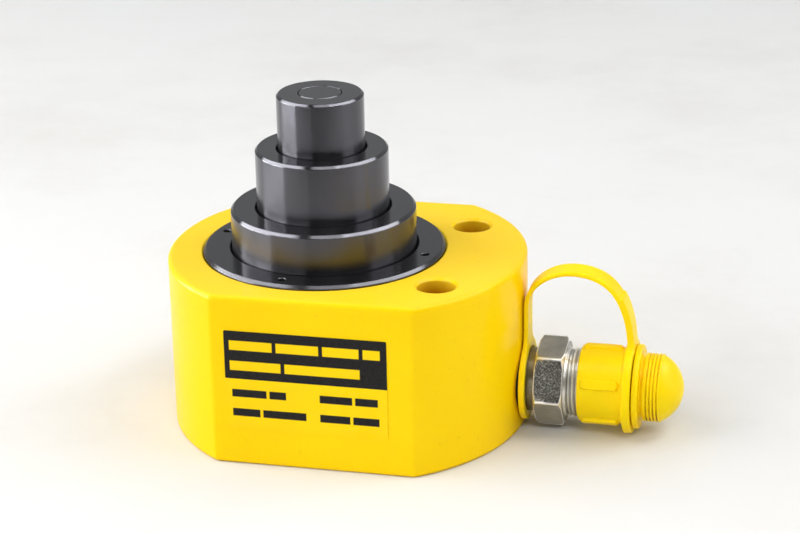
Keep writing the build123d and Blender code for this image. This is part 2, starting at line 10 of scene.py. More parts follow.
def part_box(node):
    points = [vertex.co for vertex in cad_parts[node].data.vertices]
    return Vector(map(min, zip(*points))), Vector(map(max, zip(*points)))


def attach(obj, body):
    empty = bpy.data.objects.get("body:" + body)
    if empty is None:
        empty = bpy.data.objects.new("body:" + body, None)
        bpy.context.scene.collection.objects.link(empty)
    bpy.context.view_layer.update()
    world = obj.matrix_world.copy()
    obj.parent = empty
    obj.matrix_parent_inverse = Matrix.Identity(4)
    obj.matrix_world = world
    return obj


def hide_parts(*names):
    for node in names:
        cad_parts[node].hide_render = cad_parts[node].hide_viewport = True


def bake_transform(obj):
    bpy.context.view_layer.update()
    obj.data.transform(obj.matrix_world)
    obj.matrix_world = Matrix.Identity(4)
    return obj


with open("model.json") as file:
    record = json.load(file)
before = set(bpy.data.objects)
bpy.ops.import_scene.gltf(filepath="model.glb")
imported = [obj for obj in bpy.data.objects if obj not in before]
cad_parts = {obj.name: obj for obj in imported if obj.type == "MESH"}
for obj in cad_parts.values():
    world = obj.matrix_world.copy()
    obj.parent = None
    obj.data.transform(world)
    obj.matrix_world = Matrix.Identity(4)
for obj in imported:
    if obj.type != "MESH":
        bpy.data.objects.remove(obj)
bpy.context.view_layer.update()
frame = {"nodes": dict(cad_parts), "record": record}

NODES = frame["nodes"]
MM = 0.001

# ------------------------------------------------------------------ sizes read from the frame


def mount(name):
    """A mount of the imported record."""
    return next(m for m in frame["record"]["mounts"] if m["name"] == name)


COUPLER_Z = mount("oil_coupler")["pos_m"][2]
BODY_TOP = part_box("cylinder_body")[1].z
LABEL_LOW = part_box("label_plate")[0]
FITTING_LOW, FITTING_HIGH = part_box("coupler_body")
CAP_LOW, CAP_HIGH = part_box("dust_cap")
SPRING_LOW, SPRING_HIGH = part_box("coupler_spring")


def new_object(name, data):
    """A new object in the scene around a mesh, lamp or camera."""
    made = bpy.data.objects.new(name, data)
    bpy.context.scene.collection.objects.link(made)
    return made


# ------------------------------------------------------------------ camera

CAMERA_AZIMUTH = radians(13.86)
CAMERA_ELEVATION = radians(20.88)
CAMERA_ROLL = radians(-1.27)
CAMERA_DISTANCE = 0.9
CAMERA_TARGET = Vector((0.0090, 0.0584, 0.0347))
CAMERA_LENS = 108.3
CAMERA_SENSOR = 36
CAMERA_SHIFT = (0.0122, -0.0089)
CAMERA_CLIP = (0.01, 50)


def make_camera():
    """A long lens from the front right, a little above the object."""
    back = Vector((
        sin(CAMERA_AZIMUTH) * cos(CAMERA_ELEVATION),
        -cos(CAMERA_AZIMUTH) * cos(CAMERA_ELEVATION),
        sin(CAMERA_ELEVATION),
    ))
    right = Vector((cos(CAMERA_AZIMUTH), sin(CAMERA_AZIMUTH), 0.0))
    up = back.cross(right)
    turned_right = right * cos(CAMERA_ROLL) + up * sin(CAMERA_ROLL)
    turned_up = up * cos(CAMERA_ROLL) - right * sin(CAMERA_ROLL)
    place = Matrix((turned_right, turned_up, back)).transposed().to_4x4()
    place.translation = CAMERA_TARGET + back * CAMERA_DISTANCE
    data = bpy.data.cameras.new("camera")
    data.lens = CAMERA_LENS
    data.sensor_width = CAMERA_SENSOR
    data.shift_x, data.shift_y = CAMERA_SHIFT
    data.clip_start, data.clip_end = CAMERA_CLIP
    camera = new_object("camera", data)
    camera.matrix_world = place
    bpy.context.scene.camera = camera


# ------------------------------------------------------------------ node helpers

BEVEL_SAMPLES = 6
# how far the rounded normal agrees with the flat one on a sharp edge, and on a flat face
EDGE_AGREEMENT = (0.86, 0.985)


class Nodes:
    """A small builder for one material's or world's node tree."""

    def __init__(self, tree):
        self.tree = tree

    def link(self, start, end):
        """Join an output socket to an input socket."""
        self.tree.links.new(start, end)

    def add(self, kind, **values):
        """A node with its properties or its input sockets set by name."""
        node = self.tree.nodes.new(kind)
        for key, value in values.items():
            if hasattr(node, key):
                setattr(node, key, value)
            else:
                node.inputs[key.replace("_", " ")].default_value = value
        return node

    def maths(self, operation, first, second=None, third=None, clamp=False):
        """The result of one arithmetic node, from sockets or numbers."""
        node = self.tree.nodes.new("ShaderNodeMath")
        node.operation = operation
        node.use_clamp = clamp
        for place, value in enumerate((first, second, third)):
            if value is None:
                continue
            if isinstance(value, (int, float)):
                node.inputs[place].default_value = value
            else:
                self.link(value, node.inputs[place])
        return node.outputs[0]

    def ramp(self, value, stops):
        """A colour ramp with (position, colour) stops."""
        node = self.tree.nodes.new("ShaderNodeValToRGB")
        points = node.color_ramp.elements
        while len(points) < len(stops):
            # between the two ends that are there from the start, and moved below
            points.new(0.5)
        for point, (position, colour) in zip(points, stops):
            point.position = position
            point.color = (*colour, 1)
        self.link(value, node.inputs["Fac"])
        return node.outputs["Color"]

    def spread(self, value, low, high, start=0.0, end=1.0, smooth=False):
        """A socket stretched from start..end to low..high, clamped."""
        node = self.tree.nodes.new("ShaderNodeMapRange")
        if smooth:
            node.interpolation_type = "SMOOTHSTEP"
        node.inputs["From Min"].default_value = start
        node.inputs["From Max"].default_value = end
        node.inputs["To Min"].default_value = low
        node.inputs["To Max"].default_value = high
        self.link(value, node.inputs["Value"])
        return node.outputs["Result"]

    def noise(self, where, scale, detail=3.0, rough=0.5):
        """Grey noise at a coordinate."""
        node = self.tree.nodes.new("ShaderNodeTexNoise")
        node.inputs["Scale"].default_value = scale
        node.inputs["Detail"].default_value = detail
        node.inputs["Roughness"].default_value = rough
        self.link(where, node.inputs["Vector"])
        return node.outputs["Fac"]

    def bump(self, height, distance, strength=1.0, normal=None):
        """A bump from a height socket, distance in metres."""
        node = self.tree.nodes.new("ShaderNodeBump")
        node.inputs["Strength"].default_value = strength
        node.inputs["Distance"].default_value = distance
        self.link(height, node.inputs["Height"])
        if normal is not None:
            self.link(normal, node.inputs["Normal"])
        return node.outputs["Normal"]

    def soft_edges(self, radius):
        """A normal that rounds every sharp edge, radius in metres."""
        node = self.tree.nodes.new("ShaderNodeBevel")
        node.samples = BEVEL_SAMPLES
        node.inputs["Radius"].default_value = radius
        return node.outputs["Normal"]

    def normal(self):
        """The surface's own normal."""
        return self.tree.nodes.new("ShaderNodeNewGeometry").outputs["Normal"]

    def edge_mask(self, radius):
        """1 on sharp edges and 0 on flat faces."""
        turned = self.tree.nodes.new("ShaderNodeVectorMath")
        turned.operation = "DOT_PRODUCT"
        self.link(self.soft_edges(radius), turned.inputs[0])
        self.link(self.normal(), turned.inputs[1])
        return self.spread(turned.outputs["Value"], 1.0, 0.0, *EDGE_AGREEMENT)

    def mix(self, factor, first, second):
        """A blend of two colours, each a socket or a tuple."""
        node = self.tree.nodes.new("ShaderNodeMix")
        node.data_type = "RGBA"
        colours = [s for s in node.inputs if s.type == "RGBA"]
        self.link(factor, node.inputs["Factor"])
        for socket, value in zip(colours, (first, second)):
            if isinstance(value, tuple):
                socket.default_value = (*value, 1)
            else:
                self.link(value, socket)
        return next(s for s in node.outputs if s.type == "RGBA")

    def split(self, where):
        """The three parts of a coordinate."""
        node = self.tree.nodes.new("ShaderNodeSeparateXYZ")
        self.link(where, node.inputs[0])
        return node.outputs[0], node.outputs[1], node.outputs[2]

    def length(self, first, second):
        """The length of a flat vector with these two parts."""
        both = self.maths("ADD", self.maths("MULTIPLY", first, first), self.maths("MULTIPLY", second, second))
        return self.maths("SQRT", both)


def new_material(name, **constants):
    """A material with a Principled shader; constants go on the shader's own sockets."""
    material = bpy.data.materials.new(name)
    material.use_nodes = True
    nodes = Nodes(material.node_tree)
    shader = material.node_tree.nodes["Principled BSDF"]
    for key, value in constants.items():
        shader.inputs[key.replace("_", " ")].default_value = value
    where = nodes.add("ShaderNodeTexCoord").outputs["Object"]
    return material, nodes, shader, where


def turning_marks(nodes, where, scale):
    """Fine rings left by a lathe: they follow the radius on faces and the height on walls."""
    across, depth, height = nodes.split(where)
    join = nodes.add("ShaderNodeCombineXYZ")
    nodes.link(nodes.length(across, depth), join.inputs[0])
    nodes.link(height, join.inputs[1])
    return nodes.noise(join.outputs[0], scale, detail=4.0, rough=0.65)


SPECK_SOFT = 0.05


def specks(nodes, where, scale, threshold):
    """Sparse specks: 1 where fine noise is above the threshold."""
    noise = nodes.noise(where, scale, detail=6.0, rough=0.75)
    return nodes.spread(noise, 0.0, 1.0, start=threshold, end=threshold + SPECK_SOFT)


# ------------------------------------------------------------------ materials

PAINT_DARK = (0.96, 0.605, 0.0004)
PAINT_LIGHT = (0.99, 0.675, 0.0006)
# a paler yellow painted along sharp edges as a highlight, and how far it reaches
PAINT_EDGE_HIGHLIGHT = (0.99, 0.74, 0.05)
PAINT_HIGHLIGHT_REACH = 0.9 * MM
PAINT_SPECK = (0.60, 0.36, 0.02)
PAINT_ROUNDING = 0.8 * MM
# painted reflection: faces that look up are mixed towards this paler colour, by this much
TOP_REFLECTION = (0.78, 0.52, 0.5)
TOP_REFLECTION_AMOUNT = (0.025, 0.05)
# a painted reflection, a paler colour, lies on faces that look up: how upright the normal is where it starts,
# and where it is full
TOP_REFLECTION_SLOPE = (0.6, 0.95)
# the mounting holes' walls: painted shade, darkest deep down and lighter near the body's top, with a ragged
# fade
BORE_SHADE_DEEP = (0.52, 0.225, 0.001)
BORE_SHADE_HIGH = (0.80, 0.52, 0.015)
BORE_FADE_LOW = BODY_TOP - 5.2 * MM
BORE_FADE_HIGH = BODY_TOP - 1.2 * MM
BORE_FADE_WAVE = 3 * MM
# how far past its radius, in millimetres, a hole's wall still counts as inside
HOLE_SLACK = 0.02


def paint_colour(nodes, where):
    """The slow colour variation of the yellow paint, shared with the clear film over it."""
    return nodes.ramp(nodes.noise(where, scale=14.0, detail=3.0), ((0.3, PAINT_DARK), (0.7, PAINT_LIGHT)))


def inside_holes(nodes, where):
    """1 on the walls of the two mounting holes, where painted shade goes."""
    holes = mount("mounting_holes")
    apart = holes["dims"]["spacing_y_mm"] * MM
    reach = (holes["dims"]["hole_r_mm"] + HOLE_SLACK) * MM
    across, depth, _ = nodes.split(where)
    off_x = nodes.maths("SUBTRACT", across, holes["pos_m"][0])
    off_y = nodes.maths("SUBTRACT", nodes.maths("ABSOLUTE", depth), apart / 2)
    return nodes.maths("LESS_THAN", nodes.length(off_x, off_y), reach)


def yellow_paint():
    """Thick baked paint: slow waves, orange peel, a painted highlight on its edges, specks, and a painted
    reflection on top.
    """
    material, nodes, shader, where = new_material(
        "yellow_paint", Coat_Weight=0.09, Coat_Roughness=0.05, Specular_IOR_Level=0.06
    )
    blotches = nodes.noise(where, scale=300.0, detail=4.0)
    # painted highlight: the paint is lightened along sharp edges, in blotches
    edge_highlight = nodes.maths("MULTIPLY", nodes.edge_mask(PAINT_HIGHLIGHT_REACH), blotches, clamp=True)
    edge_lit = nodes.mix(nodes.maths("MULTIPLY", edge_highlight, 0.5), paint_colour(nodes, where), PAINT_EDGE_HIGHLIGHT)
    dots = nodes.maths("MULTIPLY", specks(nodes, where, scale=420.0, threshold=0.62), 0.25)
    speckled = nodes.mix(dots, edge_lit, PAINT_SPECK)
    # painted reflection: faces that look up turn paler, as if lit by the bright room above
    level = nodes.spread(nodes.split(nodes.normal())[2], 0.0, 1.0, *TOP_REFLECTION_SLOPE)
    film = nodes.spread(nodes.noise(where, scale=30.0, detail=4.0), *TOP_REFLECTION_AMOUNT, start=0.3, end=0.7)
    top_lit = nodes.mix(nodes.maths("MULTIPLY", level, film), speckled, TOP_REFLECTION)
    # painted shade inside the mounting holes, deepest far down and fading out towards the top
    wave = nodes.noise(where, scale=220.0, detail=3.0)
    ragged = nodes.maths("MULTIPLY_ADD", wave, BORE_FADE_WAVE, -BORE_FADE_WAVE / 2)
    height = nodes.maths("ADD", nodes.split(where)[2], ragged)
    near_top = nodes.spread(height, 0.0, 1.0, BORE_FADE_LOW, BORE_FADE_HIGH)
    bore_shade = nodes.mix(near_top, BORE_SHADE_DEEP, BORE_SHADE_HIGH)
    nodes.link(nodes.mix(inside_holes(nodes, where), top_lit, bore_shade), shader.inputs["Base Color"])
    smears = nodes.noise(where, scale=55.0, detail=5.0, rough=0.6)
    nodes.link(nodes.spread(smears, 0.24, 0.38), shader.inputs["Roughness"])
    flow = nodes.noise(where, scale=75.0, detail=1.5)
    waves = nodes.bump(flow, distance=1.1 * MM, strength=0.22, normal=nodes.soft_edges(PAINT_ROUNDING))
    dimples = nodes.noise(where, scale=850.0, detail=2.0)
    peel = nodes.bump(dimples, distance=0.06 * MM, strength=0.5, normal=waves)
    nodes.link(peel, shader.inputs["Normal"])
    nodes.link(waves, shader.inputs["Coat Normal"])
    return material


# a turned end face, whose normal is this upright, has this share of the walls' roughness
FACE_UPRIGHT = 0.95
FACE_POLISH = 0.55
# the plating's darkest and lightest blotches, as shares of its base colour
TINT_LOW = 0.88
TINT_HIGH = 1.12
# edges are lightened towards this: partly rubbed metal, partly a painted highlight
METAL_RUBBED_HIGHLIGHT = (0.42, 0.42, 0.44)
METAL_SPECK = (0.32, 0.31, 0.29)
METAL_WEAR_REACH = 0.5 * MM
METAL_ROUNDING = 0.3 * MM
# the spanner holes' rims are painted near black as shade, where every other edge is lightened by rubbing and
# a painted highlight
SPANNER_RIM_SHADE = (0.01, 0.01, 0.01)
SPANNER_CIRCLE = 37.3 * MM
SPANNER_REACH = 1.9 * MM


def dark_metal(name, base, low, high, stretch, rub_and_highlight):
    """Black plated or blued steel turned on a lathe: the rings stretch each highlight across them.

    low and high are the range of its roughness, stretch is how far highlights are stretched, and
    the last argument is how far its edges are lightened, by rubbing and by a painted highlight.
    """
    material, nodes, shader, where = new_material(
        name, Metallic=0.9, Anisotropic=stretch, Anisotropic_Rotation=0.25
    )
    around = nodes.add("ShaderNodeTangent", direction_type="RADIAL", axis="Z")
    nodes.link(around.outputs[0], shader.inputs["Tangent"])
    marks = turning_marks(nodes, where, scale=2600.0)
    smears = nodes.noise(where, scale=60.0, detail=6.0, rough=0.65)
    tint = nodes.mix(smears, tuple(TINT_LOW * c for c in base), tuple(TINT_HIGH * c for c in base))
    across, depth, _ = nodes.split(where)
    at_holes = nodes.maths("COMPARE", nodes.length(across, depth), SPANNER_CIRCLE, SPANNER_REACH)
    edges = nodes.edge_mask(METAL_WEAR_REACH)
    # painted highlight, with rubbing: edges are lightened, except around the spanner holes
    rub_and_highlight_mask = nodes.maths("MULTIPLY", edges, nodes.maths("SUBTRACT", 1.0, at_holes))
    bright = nodes.mix(nodes.maths("MULTIPLY", rub_and_highlight_mask, rub_and_highlight), tint, METAL_RUBBED_HIGHLIGHT)
    # painted shade: the spanner holes' rims are made near black
    rims_shaded = nodes.mix(nodes.maths("MULTIPLY", edges, at_holes), bright, SPANNER_RIM_SHADE)
    dots = nodes.maths("MULTIPLY", specks(nodes, where, scale=700.0, threshold=0.66), 0.15)
    nodes.link(nodes.mix(dots, rims_shaded, METAL_SPECK), shader.inputs["Base Color"])
    both = nodes.maths("ADD", nodes.maths("MULTIPLY", smears, 0.7), nodes.maths("MULTIPLY", marks, 0.3))
    faced = nodes.maths("GREATER_THAN", nodes.split(nodes.normal())[2], FACE_UPRIGHT)
    polish = nodes.maths("MULTIPLY_ADD", faced, FACE_POLISH - 1, 1.0)
    blur = nodes.maths("MULTIPLY", nodes.spread(both, low, high, start=0.3, end=0.7), polish)
    nodes.link(blur, shader.inputs["Roughness"])
    grooves = nodes.bump(marks, distance=0.012 * MM, strength=0.3, normal=nodes.soft_edges(METAL_ROUNDING))
    nodes.link(grooves, shader.inputs["Normal"])
    return material


ZINC_PITS = ((0.38, (0.06, 0.06, 0.055)), (0.53, (0.24, 0.235, 0.215)), (0.67, (0.75, 0.74, 0.70)))
ZINC_CLOUD = (0.17, 0.16, 0.14)
ZINC_SMOOTH = ((0.3, (0.33, 0.315, 0.27)), (0.7, (0.45, 0.43, 0.37)))
ZINC_CREST = (0.90, 0.89, 0.85)
# painted shade, darker towards the thread's roots
ZINC_ROOT_SHADE = (0.34, 0.32, 0.26)
# painted shade, brownish, on the neck between the body and the hexagon
ZINC_NECK_SHADE = (0.20, 0.17, 0.11)
# the hexagon's borders are lightened towards this: rubbing and a painted highlight
ZINC_RUBBED_HIGHLIGHT = (0.97, 0.96, 0.93)
ZINC_ROUNDING = 0.5 * MM
# where each lightened border of the hexagon's faces, from rubbing and a painted highlight, starts and ends
# its fade
CORNER_RUB = (0.05, 0.14)
RIM_RUB = (0.2 * MM, 0.4 * MM)
BEVEL_RUB = (-0.5 * MM, -0.15 * MM)


def zinc_steel():
    """Zinc plating: every second flat is cast and speckled, thread crests show bright metal, the hexagon's
    borders get rubbing and a painted highlight, and the thread's roots and the neck get painted shade.
    """
    material, nodes, shader, where = new_material("zinc_steel", Metallic=0.85)
    speckle = nodes.noise(where, scale=1900.0, detail=3.0, rough=0.7)
    cloud = nodes.noise(where, scale=160.0, detail=3.0)
    pits = nodes.ramp(speckle, ZINC_PITS)
    rough = nodes.mix(nodes.spread(cloud, 0.1, 0.45, start=0.3, end=0.7), pits, ZINC_CLOUD)
    smooth = nodes.ramp(cloud, ZINC_SMOOTH)
    along, depth, height = nodes.split(where)
    up = nodes.maths("SUBTRACT", height, COUPLER_Z)
    turn = nodes.maths("SUBTRACT", nodes.maths("ARCTAN2", up, depth), HEX_TURN)
    wave = nodes.maths("COSINE", nodes.maths("MULTIPLY", turn, 3.0))
    forged = nodes.maths("GREATER_THAN", wave, 0.0)
    flats = nodes.mix(forged, smooth, rough)
    threaded = nodes.maths("GREATER_THAN", along, HEX_END * MM)
    reach = nodes.length(up, depth)
    # painted shade: the thread darkens from its crests towards its roots
    root = nodes.spread(reach, 0.75, 0.0, THREAD_DARK * MM, THREAD_BRIGHT * MM)
    rolled = nodes.mix(root, ZINC_CREST, ZINC_ROOT_SHADE)
    bare = nodes.mix(nodes.maths("MULTIPLY", threaded, 0.85), flats, rolled)
    # painted shade: the neck in the gap beside the body is darkened to brown
    neck = nodes.maths("LESS_THAN", along, HEX_START * MM)
    neck_shaded = nodes.mix(nodes.maths("MULTIPLY", neck, 0.85), bare, ZINC_NECK_SHADE)
    # painted highlight, with rubbing: the hexagon's corners, ends and bevels are lightened
    corner = nodes.spread(nodes.maths("ABSOLUTE", wave), 1.0, 0.0, *CORNER_RUB)
    off_middle = nodes.maths("ABSOLUTE", nodes.maths("SUBTRACT", along, (HEX_START + HEX_END) / 2 * MM))
    end = nodes.maths("SUBTRACT", (HEX_END - HEX_START) / 2 * MM, off_middle)
    rim = nodes.spread(end, 1.0, 0.0, *RIM_RUB)
    slope = nodes.maths("MULTIPLY", end, (HEX_OUTER - HEX_FACE) / HEX_BEVEL)
    past_bevel = nodes.maths("SUBTRACT", reach, nodes.maths("ADD", slope, HEX_FACE * MM))
    bevel = nodes.spread(past_bevel, 0.0, 1.0, *BEVEL_RUB)
    border = nodes.maths("MAXIMUM", corner, nodes.maths("MAXIMUM", rim, bevel))
    on_hexagon = nodes.maths("GREATER_THAN", end, 0.0)
    rub_and_highlight = nodes.mix(nodes.maths("MULTIPLY", border, on_hexagon), neck_shaded, ZINC_RUBBED_HIGHLIGHT)
    nodes.link(rub_and_highlight, shader.inputs["Base Color"])
    nodes.link(nodes.spread(speckle, 0.2, 0.42), shader.inputs["Roughness"])
    grain = nodes.maths("MULTIPLY", speckle, nodes.maths("MULTIPLY_ADD", forged, 0.85, 0.15))
    pitted = nodes.bump(grain, distance=0.06 * MM, strength=0.6, normal=nodes.soft_edges(ZINC_ROUNDING))
    nodes.link(pitted, shader.inputs["Normal"])
    return material


PLASTIC_TONES = ((0.3, (1.0, 0.68, 0.0004)), (0.7, (1.0, 0.745, 0.0006)))
GROOVE_BROWN = (0.27, 0.10, 0.006)
# the brown reaches this far to each side of a groove; it is full below one height and thin above the other
GROOVE_BROWN_REACH = 0.24 * MM
GROOVE_BROWN_FULL = COUPLER_Z - 9 * MM
GROOVE_BROWN_THIN = COUPLER_Z + 4 * MM
GROOVE_BROWN_THIN_SHARE = 0.3


def yellow_plastic():
    """Soft moulded polyethylene, a little translucent, with brown in its end grooves, stronger towards the
    bottom.
    """
    material, nodes, shader, where = new_material(
        "yellow_plastic", Subsurface_Weight=0.12, Subsurface_Radius=(0.003, 0.002, 0.0003),
        Subsurface_Scale=0.6, Specular_IOR_Level=0.12,
    )
    colour = nodes.ramp(nodes.noise(where, scale=90.0, detail=4.0), PLASTIC_TONES)
    along, _, height = nodes.split(where)
    in_grooves = None
    for place in END_GROOVES:
        near = nodes.maths("COMPARE", along, place * MM, GROOVE_BROWN_REACH)
        in_grooves = near if in_grooves is None else nodes.maths("ADD", in_grooves, near)
    patchy = nodes.spread(nodes.noise(where, scale=260.0, detail=4.0), 0.45, 1.0, start=0.35, end=0.65)
    low_side = nodes.spread(height, 1.0, GROOVE_BROWN_THIN_SHARE, GROOVE_BROWN_FULL, GROOVE_BROWN_THIN)
    browned = nodes.maths("MULTIPLY", nodes.maths("MULTIPLY", in_grooves, patchy), low_side)
    nodes.link(nodes.mix(browned, colour, GROOVE_BROWN), shader.inputs["Base Color"])
    scuffs = nodes.noise(where, scale=300.0, detail=4.0)
    nodes.link(nodes.spread(scuffs, 0.27, 0.44), shader.inputs["Roughness"])
    dimples = nodes.noise(where, scale=520.0, detail=3.0)
    nodes.link(nodes.bump(dimples, distance=0.07 * MM, strength=0.5), shader.inputs["Normal"])
    return material


# matt black seal rubber, brown filled bearing plastic, and bright wire or hardened steel
RUBBER_TONES = ((0.3, (0.012, 0.012, 0.013)), (0.8, (0.035, 0.035, 0.036)))
FIBRE_TONES = ((0.35, (0.10, 0.055, 0.03)), (0.7, (0.21, 0.13, 0.08)))
WIRE_TONES = ((0.3, (0.38, 0.38, 0.39)), (0.7, (0.60, 0.60, 0.61)))


def grained(name, grain, tones, smooth, rough, relief, strength, **constants):
    """A plain material whose colour, gloss and relief follow one fine noise.

    grain is the noise's scale, detail and roughness, and relief is in metres.
    """
    material, nodes, shader, where = new_material(name, **constants)
    marks = nodes.noise(where, *grain)
    nodes.link(nodes.ramp(marks, tones), shader.inputs["Base Color"])
    nodes.link(nodes.spread(marks, smooth, rough), shader.inputs["Roughness"])
    nodes.link(nodes.bump(marks, relief, strength), shader.inputs["Normal"])
    return material


# the label's print, in millimetres from its lower left corner: the black band's lower edge, then
# the yellow bars on the band and the black bars below it as (left, right, low, high)
BAND_LOW = 18.2
BAND_BARS = (
    (1.8, 16.6, 28.6, 32.0), (18.0, 32.6, 28.6, 32.0), (34.0, 46.4, 28.6, 32.0), (47.8, 53.6, 28.6, 32.0),
    (1.8, 19.4, 21.3, 24.7), (20.8, 46.6, 21.3, 24.7),
)
FILM_BARS = (
    (2.2, 14.2, 11.6, 14.4), (15.2, 21.0, 11.6, 14.4), (2.2, 11.8, 4.6, 7.4), (12.8, 27.8, 4.6, 7.4),
    (32.6, 43.8, 11.6, 14.4), (44.8, 52.6, 11.6, 14.4), (32.6, 43.0, 4.6, 7.4), (44.0, 53.0, 4.6, 7.4),
)
BAR_SOFT = 0.12
INK_TONES = ((0.3, (0.008, 0.008, 0.008)), (0.7, (0.017, 0.016, 0.016)))


def label_film():
    """Clear film over the yellow paint, printed with a black band and plain bars in place of words."""
    material, nodes, shader, where = new_material(
        "label_film", Coat_Weight=0.12, Coat_Roughness=0.1, Specular_IOR_Level=0.08
    )
    across, _, height = nodes.split(where)
    right = nodes.maths("MULTIPLY_ADD", across, 1 / MM, -LABEL_LOW.x / MM)
    up = nodes.maths("MULTIPLY_ADD", height, 1 / MM, -LABEL_LOW.z / MM)

    def inside(value, low, high):
        """1 between low and high, with soft ends."""
        rises = nodes.spread(value, 0.0, 1.0, low - BAR_SOFT, low + BAR_SOFT)
        falls = nodes.spread(value, 1.0, 0.0, high - BAR_SOFT, high + BAR_SOFT)
        return nodes.maths("MULTIPLY", rises, falls)

    def printed(bars):
        """1 on the bars."""
        total = None
        for x_low, x_high, z_low, z_high in bars:
            bar = nodes.maths("MULTIPLY", inside(right, x_low, x_high), inside(up, z_low, z_high))
            total = bar if total is None else nodes.maths("ADD", total, bar)
        return total

    ink = nodes.ramp(nodes.noise(where, scale=900.0, detail=4.0), INK_TONES)
    yellow = paint_colour(nodes, where)
    band = nodes.mix(printed(BAND_BARS), ink, yellow)
    below = nodes.mix(printed(FILM_BARS), yellow, ink)
    colour = nodes.mix(nodes.maths("GREATER_THAN", up, BAND_LOW), below, band)
    nodes.link(colour, shader.inputs["Base Color"])
    smears = nodes.noise(where, scale=60.0, detail=4.0)
    nodes.link(nodes.spread(smears, 0.22, 0.36), shader.inputs["Roughness"])
    waves = nodes.noise(where, scale=75.0, detail=2.0)
    nodes.link(nodes.bump(waves, distance=0.9 * MM, strength=0.2), shader.inputs["Normal"])
    return material


FLOOR_TONES = ((0.35, (0.685, 0.678, 0.662)), (0.5, (0.73, 0.728, 0.72)), (0.65, (0.74, 0.741, 0.74)))


def floor_white():
    """Pale matt table top with very faint veins."""
    material, nodes, shader, where = new_material("floor_white", Specular_IOR_Level=0.0)
    veins = nodes.noise(where, scale=5.0, detail=7.0, rough=0.65)
    nodes.link(nodes.ramp(veins, FLOOR_TONES), shader.inputs["Base Color"])
    nodes.link(nodes.spread(veins, 0.4, 0.55), shader.inputs["Roughness"])
    return material


# ------------------------------------------------------------------ turned pieces on the coupler's axis

# two faces that meet at less than this angle are shaded as one smooth surface
SMOOTH_ANGLE = radians(32)
MERGE_DISTANCE = 1e-7


def soften(corners, steps=5):
    """An outline through (x, radius, cut) corners, each cut back and rounded by a quadratic curve."""
    outline = []
    for index, (x, radius, cut) in enumerate(corners):
        here = np.array((x, radius))
        if cut == 0:
            outline.append(here)
            continue
        before = np.array(corners[index - 1][:2]) - here
        after = np.array(corners[index + 1][:2]) - here
        start = here + before * cut / np.linalg.norm(before)
        end = here + after * cut / np.linalg.norm(after)
        for t in np.linspace(0, 1, steps):
            outline.append((1 - t) ** 2 * start + 2 * t * (1 - t) * here + t * t * end)
    return outline


def divide(outline, step, low, high):
    """The outline with its long stretches between x = low and x = high cut into short steps."""
    fine = [outline[0]]
    for start, end in zip(outline, outline[1:]):
        length = np.linalg.norm(end - start)
        inside = low <= min(start[0], end[0]) and max(start[0], end[0]) <= high
        count = max(1, round(length / step)) if inside else 1
        for index in range(1, count + 1):
            fine.append(start + (end - start) * index / count)
    return fine


def turned_piece(name, outline, angles, radius_at, closed=False):
    """A mesh turned about the coupler's axis; radius_at moves each point in or out. Millimetres in."""
    around = len(angles)
    points = []
    for x, radius in outline:
        for angle in angles:
            reach = radius_at(x, radius, angle)
            points.append((x * MM, reach * cos(angle) * MM, COUPLER_Z + reach * sin(angle) * MM))
    faces = []
    for row in range(len(outline) if closed else len(outline) - 1):
        here = row * around
        after = (row + 1) % len(outline) * around
        for column in range(around):
            beside = (column + 1) % around
            faces.append((here + column, here + beside, after + beside, after + column))
    mesh = bpy.data.meshes.new(name)
    mesh.from_pydata(points, [], faces)
    edit = bmesh.new()
    edit.from_mesh(mesh)
    bmesh.ops.remove_doubles(edit, verts=edit.verts, dist=MERGE_DISTANCE)
    bmesh.ops.recalc_face_normals(edit, faces=edit.faces)
    edit.to_mesh(mesh)
    edit.free()
    piece = new_object(name, mesh)
    mesh.shade_smooth()
    mesh.set_sharp_from_angle(angle=SMOOTH_ANGLE)
    return piece


# the dust cap, in millimetres: x runs along the coupler's axis
CAP_START = CAP_LOW.x / MM
CAP_TIP = CAP_HIGH.x / MM
CAP_RADIUS = 13.25
CAP_BORE = 12.12
CAP_BORE_END = 103.6
POCKET_RADIUS = 9.3
POCKET_END = FITTING_HIGH.x / MM + 0.8
LIP_RADIUS = CAP_RADIUS + 0.5
CAP_SHOULDER = 106.6
CAP_NECK = 10.6
FLANGE_START = 109.9
FLANGE_END = 111.9
FLANGE_RADIUS = 14.6
END_START = 113.2
END_RADIUS = 11.85
END_GROOVES = (114.6, 115.8, 117.0, 118.2)
GROOVE_WIDTH = 0.34
GROOVE_DEPTH = 0.55
DOME_START = 119.0
DOME_BASE = DOME_START + 0.15
DOME_RADIUS = 11.45
RIB_COUNT = 5
RIB_FIRST = radians(159)
RIB_WIDTH = 3.9
RIB_RISE = 1.05
RIB_ENDS = (91.7, 105.5)
RIB_SOFT = 0.55
# the part of the grip that the ribs stand on
GRIP_RADIUS = CAP_RADIUS - 0.3
GRIP_END = CAP_SHOULDER - 0.7
THREAD_PITCH = 1.5
CAP_THREAD_START = CAP_START + 1.2
CAP_THREAD_END = CAP_BORE_END - 0.5
CAP_THREAD_DEPTH = 0.4
CAP_AROUND = 288
CAP_STEP = 0.28
DOME_STEPS = 24


def ease(share):
    """A share of 0 to 1 made to start and end gently."""
    return share * share * (3 - 2 * share)


def rib_rise(x, angle):
    """How far the grip ribs stand out of the cap's wall here."""
    middle = (RIB_ENDS[0] + RIB_ENDS[1]) / 2
    half_run = (RIB_ENDS[1] - RIB_ENDS[0] - RIB_WIDTH) / 2
    turn = (angle - RIB_FIRST + pi / RIB_COUNT) % (2 * pi / RIB_COUNT) - pi / RIB_COUNT
    edge = RIB_WIDTH / 2 - hypot(turn * CAP_RADIUS, max(0.0, abs(x - middle) - half_run))
    return RIB_RISE * ease(min(1.0, max(0.0, edge / RIB_SOFT)))


